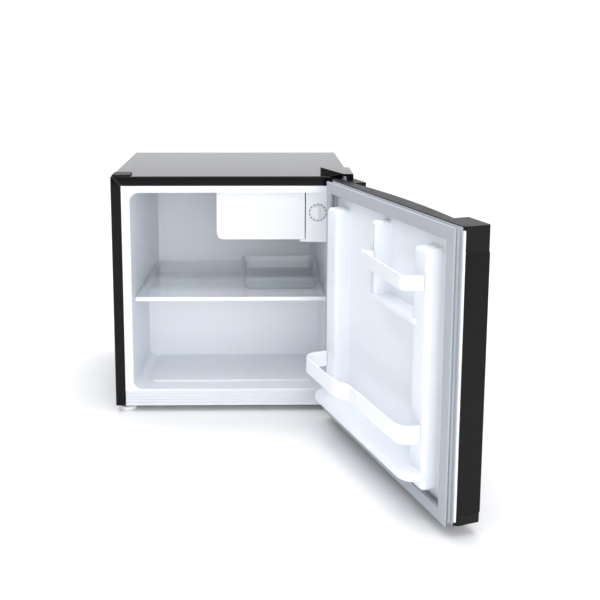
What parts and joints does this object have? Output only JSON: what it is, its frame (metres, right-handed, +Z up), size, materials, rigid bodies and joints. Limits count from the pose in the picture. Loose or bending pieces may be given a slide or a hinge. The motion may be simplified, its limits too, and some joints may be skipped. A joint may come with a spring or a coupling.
{
  "type": "mini refrigerator",
  "caption": "Cube-size table-top refrigerator with a hinged pull-grip door, ice box with flap, clear shelf, drip tray and door racks, shown with its door open.",
  "frame": {"origin": "middle of the underside of the bounding box, with the door standing open as the part is stored; the floor is Z = 0", "axes": "-Y is the way the cabinet's mouth faces, +Y its back, +Z up, +X the hinge side"},
  "size_m": [0.6262, 0.8558, 0.495],
  "materials": {
    "black_steel": "gloss black paint",
    "dark_steel": "satin dark paint",
    "zinc_steel": "zinc plated",
    "white_liner": "glossy vacuum-formed or moulded polystyrene",
    "pale_plastic": "satin moulded plastic",
    "matte_black": "fine-textured moulded ABS",
    "gasket": "matte vinyl",
    "foam": "rigid polyurethane foam, unfinished",
    "aluminium": "rolled and coated",
    "clear": "clear polystyrene",
    "glass": "toughened glass",
    "rubber": "matte",
    "copper": "bare drawn copper"
  },
  "bodies": {
    "cabinet": {"back_panel": "dark_steel", "base_plate": "zinc_steel", "bottom_hinge_pin": "zinc_steel", "bottom_hinge_plate": "zinc_steel", "bottom_hinge_screw": "zinc_steel", "cabinet_wrap": "black_steel", "compressor": "black_steel", "compressor_bay_panel": "zinc_steel", "compressor_mount": "black_steel", "compressor_rail": "zinc_steel", "condenser_coil": "dark_steel", "cord_gland": "matte_black", "corner_cap_left": "matte_black", "discharge_pipe": "copper", "drain_tube": "pale_plastic", "evaporation_pan": "matte_black", "filter_dryer": "copper", "foam_insulation": "foam", "front_sill": "pale_plastic", "grommet_1": "rubber", "grommet_2": "rubber", "grommet_3": "rubber", "grommet_4": "rubber", "ice_box": "aluminium", "inner_liner": "white_liner", "rear_foot_left": "rubber", "rear_foot_right": "rubber", "relay_cover": "matte_black", "suction_pipe": "copper", "thermostat_body": "zinc_steel", "thermostat_housing": "white_liner", "top_hinge_cover": "black_steel", "top_hinge_pin": "zinc_steel", "top_hinge_plate": "zinc_steel", "top_hinge_screw_1": "zinc_steel", "top_hinge_screw_2": "zinc_steel"},
    "door": {"door_skin": "black_steel", "door_top_cap": "matte_black", "door_bottom_cap": "matte_black", "door_foam": "foam", "door_liner": "white_liner", "door_gasket": "gasket", "lower_bottle_bar": "white_liner", "upper_rack_bar": "white_liner", "top_hinge_bush": "pale_plastic", "bottom_hinge_bush": "pale_plastic"},
    "flap": {"ice_box_flap": "white_liner"},
    "knob": {"thermostat_knob": "pale_plastic"},
    "shelf": {"shelf_glass": "glass", "shelf_trim": "white_liner"},
    "tray": {"drip_tray": "clear"},
    "foot_left": {"front_foot_left": "pale_plastic"},
    "foot_right": {"front_foot_right": "pale_plastic"}
  },
  "joints": [
    {"name": "door_hinge", "type": "hinge", "parent": "cabinet", "child": "door", "pos_m": [0.14195, 0.01132, 0.0195], "axis": [0, 0, 1], "range_deg": [-109.4, 20.6]},
    {"name": "flap_hinge", "type": "hinge", "parent": "cabinet", "child": "flap", "pos_m": [0.06449, 0.10532, 0.346], "axis": [0, 0, 1], "range_deg": [0, 92]},
    {"name": "knob_spin", "type": "hinge", "parent": "cabinet", "child": "knob", "pos_m": [0.09624, 0.10032, 0.4015], "axis": [0, 1, 0], "range_deg": [0, 290]},
    {"name": "shelf_slide", "type": "slide", "parent": "cabinet", "child": "shelf", "axis": [0, -1, 0], "range_m": [0, 0.05]},
    {"name": "tray_slide", "type": "slide", "parent": "shelf", "child": "tray", "axis": [0, -1, 0], "range_m": [0, 0.1]},
    {"name": "foot_left_screw", "type": "hinge", "parent": "cabinet", "child": "foot_left", "pos_m": [-0.29005, 0.06712, 0.01], "axis": [0, 0, 1], "range_deg": [-360, 360]},
    {"name": "foot_right_screw", "type": "hinge", "parent": "cabinet", "child": "foot_right", "pos_m": [0.13395, 0.06712, 0.01], "axis": [0, 0, 1], "range_deg": [-360, 360]}
  ]
}
